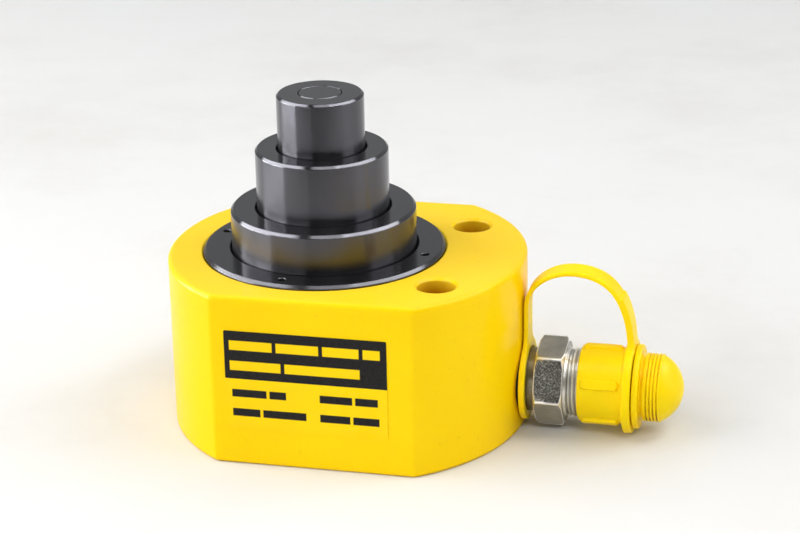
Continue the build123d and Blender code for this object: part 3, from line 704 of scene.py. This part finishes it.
def thread_wave(x, angle):
    """A rounded saw wave along a helix, 0 at the root and 1 at the crest."""
    turn = x / THREAD_PITCH - angle / (2 * pi)
    return ease(abs(2 * (turn - floor(turn)) - 1))


def cap_radius_at(x, radius, angle):
    """The cap's radius with its grip ribs outside and its thread inside."""
    if radius > GRIP_RADIUS and x < GRIP_END:
        return radius + rib_rise(x, angle)
    if radius == CAP_BORE and CAP_THREAD_START < x < CAP_THREAD_END:
        return radius + CAP_THREAD_DEPTH * thread_wave(x, angle)
    return radius


def make_dust_cap(material):
    """Moulded cap: ribbed grip, neck for the strap, flange, grooved end and dome."""
    corners = [
        (POCKET_END, 0, 0),
        (POCKET_END, POCKET_RADIUS, 0.3),
        (CAP_BORE_END, POCKET_RADIUS, 0.3),
        (CAP_BORE_END, CAP_BORE, 0),
        (CAP_START + 0.5, CAP_BORE, 0),
        (CAP_START, CAP_BORE + 0.45, 0),
        (CAP_START, CAP_RADIUS, 0.45),
        (CAP_SHOULDER - 0.9, CAP_RADIUS, 0.3),
        (CAP_SHOULDER - 0.5, LIP_RADIUS, 0.2),
        (CAP_SHOULDER, LIP_RADIUS, 0.2),
        (CAP_SHOULDER, CAP_NECK, 0.3),
        (FLANGE_START, CAP_NECK, 0.3),
        (FLANGE_START, FLANGE_RADIUS, 0.35),
        (FLANGE_END, FLANGE_RADIUS, 0.6),
        (FLANGE_END, CAP_NECK, 0.5),
        (END_START, CAP_NECK, 0.5),
        (END_START, END_RADIUS, 0.35),
    ]
    for place in END_GROOVES:
        corners += [
            (place - GROOVE_WIDTH, END_RADIUS, 0.12),
            (place - GROOVE_WIDTH / 3, END_RADIUS - GROOVE_DEPTH, 0.1),
            (place + GROOVE_WIDTH / 3, END_RADIUS - GROOVE_DEPTH, 0.1),
            (place + GROOVE_WIDTH, END_RADIUS, 0.12),
        ]
    corners += [(DOME_START, END_RADIUS, 0.25), (DOME_BASE, DOME_RADIUS, 0)]
    outline = soften(corners)
    rise = CAP_TIP - DOME_BASE
    ball = (DOME_RADIUS**2 + rise**2) / (2 * rise)
    sweep = asin(DOME_RADIUS / ball)
    for step in range(1, DOME_STEPS + 1):
        angle = sweep * (1 - step / DOME_STEPS)
        outline.append(np.array((CAP_TIP - ball + ball * cos(angle), ball * sin(angle))))
    outline = divide(outline, CAP_STEP, CAP_START, CAP_SHOULDER)
    angles = [2 * pi * k / CAP_AROUND for k in range(CAP_AROUND)]
    cap = turned_piece("moulded_dust_cap", outline, angles, cap_radius_at)
    cap.data.materials.append(material)
    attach(cap, "cap")
    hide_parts("dust_cap")


# the coupler fitting, in millimetres
STUB_START = FITTING_LOW.x / MM
NOSE_END = FITTING_HIGH.x / MM
STUB_RADIUS = 8.0
SPOT_FACE = 69.0
NECK_START = 70.8
NECK_RADIUS = 11.0
HEX_START = 76.0
HEX_END = 86.0
HEX_FLAT = 13.5
HEX_TURN = radians(39)
HEX_ROUND = 0.55
HEX_FACE = HEX_FLAT + 0.45
HEX_BEVEL = 0.85
THREAD_START = 87.2
THREAD_END = 102.2
THREAD_CREST = 12.0
THREAD_ROOT = 11.1
# between these radii the painted shade in the thread's roots fades out
THREAD_DARK = THREAD_ROOT + 0.15
THREAD_BRIGHT = THREAD_CREST - 0.3
THREAD_RUN_IN = 0.8
NOSE_RADIUS = 9.0
SEAT_START = 102.0
SEAT_BORE = 7.0
CHAMBER_START = 79.0
CHAMBER_BORE = 5.6
PASSAGE = 3.2
CORNER_START = atan((HEX_FLAT - HEX_ROUND) * tan(pi / 6) / HEX_FLAT)
HEX_OUTER = (HEX_FLAT - HEX_ROUND) / cos(pi / 6) + HEX_ROUND + 0.01
BEVEL_STEPS = 6
FLAT_STEPS = 14
CORNER_STEPS = 6
THREAD_STEP = 0.1


def hex_radius(angle):
    """Distance from the axis to a hexagon with rounded corners."""
    turn = abs((angle - HEX_TURN + pi / 6) % (pi / 3) - pi / 6)
    if turn < CORNER_START:
        return HEX_FLAT / cos(turn)
    centre = (HEX_FLAT - HEX_ROUND) / cos(pi / 6)
    side = centre * sin(pi / 6 - turn)
    return centre * cos(pi / 6 - turn) + sqrt(max(0.0, HEX_ROUND**2 - side**2))


def fitting_radius_at(x, radius, angle):
    """The fitting's radius with its six flats and its thread."""
    if HEX_START <= x <= HEX_END and radius > NECK_RADIUS + 0.5:
        return min(radius, hex_radius(angle))
    if radius == THREAD_CREST:
        to_end = max(0.0, min(x - THREAD_START, THREAD_END - x))
        run_in = min(1.0, to_end / THREAD_RUN_IN)
        return THREAD_ROOT + (THREAD_CREST - THREAD_ROOT) * run_in * thread_wave(x, angle)
    return radius


def make_fitting(material):
    """Hex coupler with a rounded, bevelled hexagon and a rolled thread that really is a helix."""
    corners = [
        (STUB_START, PASSAGE, 0),
        (STUB_START, STUB_RADIUS, 0.4),
        (SPOT_FACE, STUB_RADIUS, 0),
        (NECK_START, STUB_RADIUS, 0),
        (NECK_START, NECK_RADIUS, 0.3),
        (HEX_START, NECK_RADIUS, 0.25),
        (HEX_START, HEX_FACE, 0),
    ]
    bevel = []
    for step in range(1, BEVEL_STEPS + 1):
        share = step / BEVEL_STEPS
        bevel.append((HEX_BEVEL * share, HEX_FACE + (HEX_OUTER - HEX_FACE) * share))
    corners += [(HEX_START + run, radius, 0) for run, radius in bevel]
    corners += [(HEX_END - run, radius, 0) for run, radius in reversed(bevel)]
    corners += [
        (HEX_END, HEX_FACE, 0),
        (HEX_END, THREAD_CREST - 0.1, 0.25),
        (THREAD_START - 0.3, THREAD_CREST - 0.1, 0.2),
        (THREAD_START - 0.1, THREAD_ROOT, 0),
        (THREAD_START, THREAD_CREST, 0),
        (THREAD_END, THREAD_CREST, 0),
        (THREAD_END + 0.05, NOSE_RADIUS, 0.3),
        (NOSE_END, NOSE_RADIUS, 0.5),
        (NOSE_END, SEAT_BORE, 0.15),
        (SEAT_START, SEAT_BORE, 0),
        (SEAT_START, CHAMBER_BORE, 0),
        (CHAMBER_START, CHAMBER_BORE, 0),
        (CHAMBER_START, PASSAGE, 0),
    ]
    outline = divide(soften(corners), THREAD_STEP, THREAD_START, THREAD_END)
    angles = []
    for side in range(6):
        middle = HEX_TURN + side * pi / 3
        across_corner = pi / 3 - 2 * CORNER_START
        angles += [middle + CORNER_START * (2 * k / FLAT_STEPS - 1) for k in range(FLAT_STEPS + 1)]
        angles += [middle + CORNER_START + across_corner * k / CORNER_STEPS for k in range(1, CORNER_STEPS)]
    fitting = turned_piece("turned_coupler_fitting", outline, angles, fitting_radius_at, closed=True)
    fitting.data.materials.append(material)
    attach(fitting, "cylinder")
    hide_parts("coupler_body")


# the check ball's spring, in millimetres
SPRING_WIRE = 0.45
SPRING_TURNS = 9
CLOSED_TURNS = 1.25
CLOSED_PITCH = 2.1 * SPRING_WIRE
TURN_STEPS = 40
WIRE_STEPS = 12
WIRE_SMOOTH_ANGLE = radians(40)


def make_check_spring(material):
    """Wound wire with closed turns at both ends, built at rest; on the real part the open turns shorten as
    the ball is pushed in.
    """
    coil = (SPRING_HIGH.y - SPRING_LOW.y) / 2 / MM - SPRING_WIRE
    low = SPRING_LOW.x / MM + SPRING_WIRE
    high = SPRING_HIGH.x / MM - SPRING_WIRE
    open_low = low + CLOSED_TURNS * CLOSED_PITCH
    open_high = high - CLOSED_TURNS * CLOSED_PITCH
    turns_at = (0, CLOSED_TURNS, SPRING_TURNS - CLOSED_TURNS, SPRING_TURNS)
    edit = bmesh.new()
    sections = []
    for turn in np.linspace(0, SPRING_TURNS, SPRING_TURNS * TURN_STEPS + 1):
        x = np.interp(turn, turns_at, (low, open_low, open_high, high))
        section = []
        for lean in np.linspace(0, 2 * pi, WIRE_STEPS, endpoint=False):
            reach = coil + SPRING_WIRE * cos(lean)
            place = (x + SPRING_WIRE * sin(lean), reach * cos(2 * pi * turn), reach * sin(2 * pi * turn))
            section.append(edit.verts.new(Vector(place) * MM + Vector((0, 0, COUPLER_Z))))
        sections.append(section)
    for here, after in zip(sections, sections[1:]):
        for k in range(WIRE_STEPS):
            beside = (k + 1) % WIRE_STEPS
            edit.faces.new((here[k], here[beside], after[beside], after[k]))
    edit.faces.new(sections[0])
    edit.faces.new(sections[-1])
    bmesh.ops.recalc_face_normals(edit, faces=edit.faces)
    mesh = bpy.data.meshes.new("wound_check_spring")
    edit.to_mesh(mesh)
    edit.free()
    mesh.shade_smooth()
    mesh.set_sharp_from_angle(angle=WIRE_SMOOTH_ANGLE)
    mesh.materials.append(material)
    spring = new_object("wound_check_spring", mesh)
    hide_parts("coupler_spring")
    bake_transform(spring)


# ------------------------------------------------------------------ strap

# each ring's outer radius, inner radius and thickness, in millimetres like all the strap's sizes
RING_1 = (14.2, 11.3, 2.1)
RING_2 = (16.4, 10.9, 2.85)
# the band starts and ends this far outside the two rings' holes
RING_1_JOIN = 0.9
RING_2_JOIN = 1.6
BAND_HALF = 4.6
BAND_THICK = 1.6
TAB_THICK = 0.75
TAB_LENGTH = 21.0
TAB_WIDTH_SHARE = 0.97
FLARE_RUN = 6.0
FLARE = 3.2
FLARE_STEPS = 12
# the band's middle line in the plane of the coupler's axis, as (x, z)
BAND_ROUTE = (
    (71.95, 29.55), (72.0, 41.0), (72.8, 49.0), (80.1, 56.4), (87.5, 58.15), (100.3, 54.1), (105.8, 45.2),
    (108.1, 30.75),
)
# the band's direction where it leaves the first ring and where it meets the second
ROUTE_START = (0, 1)
ROUTE_END = (0.03, -1)
SPLINE_STEPS = 60
VOXEL = 0.3
SMOOTHING = 0.5
SMOOTHING_ROUNDS = 4


def smooth_route(points, count=240):
    """A cubic spline through the points, sampled evenly along its length, and its length."""
    points = np.array(points)
    spans = np.linalg.norm(np.diff(points, axis=0), axis=1)
    size = len(points)
    system = np.zeros((size, size))
    wanted = np.zeros((size, 2))
    system[0, 0] = system[-1, -1] = 1
    wanted[0], wanted[-1] = ROUTE_START, ROUTE_END
    for k in range(1, size - 1):
        before, after = spans[k - 1], spans[k]
        system[k, k - 1 : k + 2] = after, 2 * (before + after), before
        wanted[k] = 3 * (
            after * (points[k] - points[k - 1]) / before + before * (points[k + 1] - points[k]) / after
        )
    slopes = np.linalg.solve(system, wanted)
    line = []
    for k, span in enumerate(spans):
        for t in np.linspace(0, 1, SPLINE_STEPS, endpoint=False):
            line.append(
                (2 * t**3 - 3 * t**2 + 1) * points[k] + (t**3 - 2 * t**2 + t) * span * slopes[k]
                + (3 * t**2 - 2 * t**3) * points[k + 1] + (t**3 - t**2) * span * slopes[k + 1]
            )
    line = np.array([*line, points[-1]])
    lengths = np.concatenate([[0], np.cumsum(np.linalg.norm(np.diff(line, axis=0), axis=1))])
    even = np.linspace(0, lengths[-1], count)
    route = np.stack([np.interp(even, lengths, line[:, k]) for k in (0, 1)], axis=1)
    return route, lengths[-1]


def add_prism(edit, outline, low, high):
    """A flat plate with the given outline, between two heights."""
    bottom = [edit.verts.new((x, y, low)) for x, y in outline]
    top = [edit.verts.new((x, y, high)) for x, y in outline]
    edit.faces.new(bottom[::-1])
    edit.faces.new(top)
    for k in range(len(outline)):
        after = (k + 1) % len(outline)
        edit.faces.new((bottom[k], bottom[after], top[after], top[k]))


def add_ring(edit, centre, outer, inner, thick, steps=96):
    """A flat ring."""
    loops = []
    half = thick / 2
    turns = [2 * pi * k / steps for k in range(steps)]
    for radius, height in ((outer, -half), (outer, half), (inner, half), (inner, -half)):
        loop = [(centre + radius * cos(turn), radius * sin(turn), height) for turn in turns]
        loops.append([edit.verts.new(place) for place in loop])
    for first, second in zip(loops, loops[1:] + loops[:1]):
        for k in range(steps):
            after = (k + 1) % steps
            edit.faces.new((first[k], first[after], second[after], second[k]))


def flared_band(start, end):
    """The band's flat outline: straight, and wider where it runs into each ring."""
    shares = [k / FLARE_STEPS for k in range(FLARE_STEPS + 1)]
    side = [(start + share * FLARE_RUN, BAND_HALF + FLARE * (1 - share) ** 2) for share in shares]
    side += [(end - (1 - share) * FLARE_RUN, BAND_HALF + FLARE * share**2) for share in shares]
    return side + [(x, -y) for x, y in reversed(side)]


def make_strap(material):
    """Moulded strap, made flat with its two rings and then bent along its route."""
    route, run = smooth_route(BAND_ROUTE)
    centre_1 = -(BAND_ROUTE[0][1] - COUPLER_Z / MM)
    centre_2 = run + BAND_ROUTE[-1][1] - COUPLER_Z / MM
    edit = bmesh.new()
    add_ring(edit, centre_1, *RING_1)
    add_ring(edit, centre_2, *RING_2)
    start = centre_1 + RING_1[1] + RING_1_JOIN
    end = centre_2 - RING_2[1] - RING_2_JOIN
    add_prism(edit, flared_band(start, end), -BAND_THICK / 2, BAND_THICK / 2)
    tab = [(max(x, end - TAB_LENGTH), TAB_WIDTH_SHARE * y) for x, y in flared_band(start, end)]
    add_prism(edit, tab, 0, BAND_THICK / 2 + TAB_THICK)
    bmesh.ops.recalc_face_normals(edit, faces=edit.faces)
    mesh = bpy.data.meshes.new("moulded_strap")
    edit.to_mesh(mesh)
    edit.free()
    strap = new_object("moulded_strap", mesh)
    remesh = strap.modifiers.new("one_skin", "REMESH")
    remesh.mode = "VOXEL"
    remesh.voxel_size = VOXEL
    soft = strap.modifiers.new("soft_corners", "SMOOTH")
    soft.factor = SMOOTHING
    soft.iterations = SMOOTHING_ROUNDS
    bpy.context.view_layer.update()
    shape = bpy.data.meshes.new_from_object(strap.evaluated_get(bpy.context.evaluated_depsgraph_get()))
    strap.modifiers.clear()
    strap.data = shape
    bend_along(shape, route, run)
    shape.shade_smooth()
    shape.materials.clear()
    shape.materials.append(material)
    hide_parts("dust_cap_strap")
    # the band bends between the two rings, which stay flat
    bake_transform(strap)


def bend_along(mesh, route, run):
    """Lay a flat mesh along the route: x runs along it, z stands off its outer side. Ends run straight."""
    flat = np.zeros(len(mesh.vertices) * 3)
    mesh.vertices.foreach_get("co", flat)
    flat = flat.reshape(-1, 3)
    places = np.linspace(0, run, len(route))
    ways = np.gradient(route, axis=0)
    ways /= np.linalg.norm(ways, axis=1)[:, None]
    ways[0], ways[-1] = (0, 1), (0, -1)
    along = np.clip(flat[:, 0], 0, run)
    past = flat[:, 0] - along
    point = np.stack([np.interp(along, places, route[:, k]) for k in (0, 1)], axis=1)
    way = np.stack([np.interp(along, places, ways[:, k]) for k in (0, 1)], axis=1)
    way /= np.linalg.norm(way, axis=1)[:, None]
    point += way * past[:, None]
    bent = np.stack([
        point[:, 0] - way[:, 1] * flat[:, 2],
        flat[:, 1],
        point[:, 1] + way[:, 0] * flat[:, 2],
    ], axis=1) * MM
    mesh.vertices.foreach_set("co", bent.ravel())
    mesh.update()


# ------------------------------------------------------------------ lights and floor

WORLD_COLOUR = (0.97, 0.985, 1.0, 1)
WORLD_FRONT = 0.05
WORLD_BEHIND = 0.42
WORLD_FADE = (-0.45, 0.5)


def make_world():
    """Soft studio surroundings: pale behind, dark on the camera's side."""
    world = bpy.data.worlds.new("studio")
    bpy.context.scene.world = world
    world.use_nodes = True
    nodes = Nodes(world.node_tree)
    background = world.node_tree.nodes["Background"]
    direction = nodes.add("ShaderNodeTexCoord").outputs["Generated"]
    depth = nodes.split(direction)[1]
    strength = nodes.spread(depth, WORLD_FRONT, WORLD_BEHIND, *WORLD_FADE, smooth=True)
    nodes.link(strength, background.inputs["Strength"])
    background.inputs["Color"].default_value = WORLD_COLOUR


# Strips are seen only in reflections, and soft boxes light everything else.
# Each is a name, place, target, size, watts and the direction of its first side.
STRIPS = (
    ("strip_left", (-1.15, -0.26, 0.15), (0, 0, 0.12), (1.1, 0.26), 29, (-0.2, 1, 0)),
    ("strip_front_left", (-0.66, -0.98, 0.2), (0, 0, 0.12), (1.1, 0.34), 3, (1, -0.67, 0)),
    ("strip_high_left", (-0.83, -0.07, 0.94), (0, 0, 0.08), (1.5, 0.3), 14, (0.57, -0.69, 0.45)),
    ("strip_overhead", (0.17, -0.33, 1.11), (0, 0, 0.08), (0.6, 0.25), 2.4, (0.58, 0.22, -0.03)),
    ("strip_right", (1.25, 0.0, 0.55), (0, 0, 0.05), (0.8, 1.1), 4.6, (0, 1, 0)),
    ("strip_high_right", (0.72, 0.18, 1.02), (0, 0, 0.08), (1.3, 0.3), 11, (0.33, 0.87, -0.38)),
    ("strip_front", (0.55, -1.2, 1.3), (0.05, 0, 0.03), (0.8, 0.5), 3.6, (1, 0, 0)),
    ("strip_back", (0.3, 1.4, 2.1), (0.3, 1.3, 0), (2.6, 1.2), 2.5, (1, 0, 0)),
)
SOFT_BOXES = (
    ("soft_left", (-1.2, -0.4, 0.65), (0, 0, 0.05), (1.1, 0.8), 9, (0, 1, 0)),
    ("soft_front_left", (-0.7, -1.05, 0.6), (0, 0, 0.05), (1.1, 0.7), 5.8, (1, -0.67, 0)),
    ("soft_high_left", (-0.85, -0.07, 0.96), (0, 0, 0.08), (1.5, 0.3), 7.5, (0.57, -0.69, 0.45)),
    ("soft_right", (1.3, 0.0, 0.6), (0, 0, 0.05), (0.8, 1.1), 4.4, (0, 1, 0)),
    ("soft_high_right", (0.74, 0.19, 1.05), (0, 0, 0.08), (1.3, 0.3), 6, (0.33, 0.87, -0.38)),
    ("soft_front", (0.57, -1.23, 1.33), (0.05, 0, 0.03), (0.8, 0.5), 10, (1, 0, 0)),
    ("soft_back", (0.3, 1.4, 2.2), (0.3, 1.3, 0), (2.6, 1.2), 7, (1, 0, 0)),
)


def area_light(name, place, target, size, watts, long_side):
    """A soft rectangular light aimed at a point, with its first side along long_side."""
    data = bpy.data.lights.new(name, "AREA")
    data.shape = "RECTANGLE"
    data.size, data.size_y = size
    data.energy = watts
    back = (Vector(place) - Vector(target)).normalized()
    side = Vector(long_side)
    side = (side - back * side.dot(back)).normalized()
    matrix = Matrix((side, back.cross(side), back)).transposed().to_4x4()
    matrix.translation = place
    light = new_object(name, data)
    light.matrix_world = matrix
    light.visible_camera = False
    return light


def make_lights():
    """All the lamps, out of the camera's sight."""
    for strip in STRIPS:
        area_light(*strip).visible_diffuse = False
    for box in SOFT_BOXES:
        area_light(*box).visible_glossy = False


FLOOR_SIDE = 6.0
FLOOR_FRONT = -6.0
FLOOR_SPLIT = -0.3
FLOOR_BACK = 6.0


def floor_piece(name, front, back, material):
    """A flat rectangle of table top."""
    mesh = bpy.data.meshes.new(name)
    corners = [(-FLOOR_SIDE, front, 0), (FLOOR_SIDE, front, 0), (FLOOR_SIDE, back, 0), (-FLOOR_SIDE, back, 0)]
    mesh.from_pydata(corners, [], [(0, 1, 2, 3)])
    mesh.materials.append(material)
    piece = new_object(name, mesh)
    return piece


def make_stage():
    """Pale table under the object; its front part stays out of reflections, as a dark room would."""
    material = floor_white()
    floor_piece("floor", FLOOR_SPLIT, FLOOR_BACK, material)
    floor_piece("floor_front", FLOOR_FRONT, FLOOR_SPLIT, material).visible_glossy = False


# ------------------------------------------------------------------ assembly


def make_materials():
    """One material for each of the record's slots."""
    return {
        "yellow_paint": yellow_paint(),
        "black_chrome": dark_metal(
            "black_chrome", base=(0.100, 0.099, 0.111), low=0.16, high=0.24, stretch=0.93, rub_and_highlight=0.8
        ),
        "black_steel": dark_metal(
            "black_steel", base=(0.082, 0.082, 0.091), low=0.2, high=0.3, stretch=0.8, rub_and_highlight=0.3
        ),
        "zinc_steel": zinc_steel(),
        "spring_steel": grained(
            "spring_steel", grain=(1800.0, 4.0), tones=WIRE_TONES, smooth=0.18, rough=0.34,
            relief=0.02 * MM, strength=0.4, Metallic=1.0,
        ),
        "seal_rubber": grained(
            "seal_rubber", grain=(900.0, 4.0), tones=RUBBER_TONES, smooth=0.55, rough=0.75,
            relief=0.03 * MM, strength=0.5,
        ),
        "wear_plastic": grained(
            "wear_plastic", grain=(1200.0, 5.0, 0.7), tones=FIBRE_TONES, smooth=0.45, rough=0.65,
            relief=0.03 * MM, strength=0.4,
        ),
        "yellow_plastic": yellow_plastic(),
        "label_film": label_film(),
    }


def finish_cad_nodes(materials):
    """Every CAD node gets its slot's procedural material."""
    for entry in frame["record"]["subparts"]:
        node = NODES[entry["node"]]
        node.data.materials.clear()
        node.data.materials.append(materials[entry["material_slot"]])


bpy.context.scene.view_settings.view_transform = "Standard"
make_camera()
make_world()
make_stage()
make_lights()
MATERIALS = make_materials()
finish_cad_nodes(MATERIALS)
make_dust_cap(MATERIALS["yellow_plastic"])
make_fitting(MATERIALS["zinc_steel"])
make_check_spring(MATERIALS["spring_steel"])
make_strap(MATERIALS["yellow_plastic"])
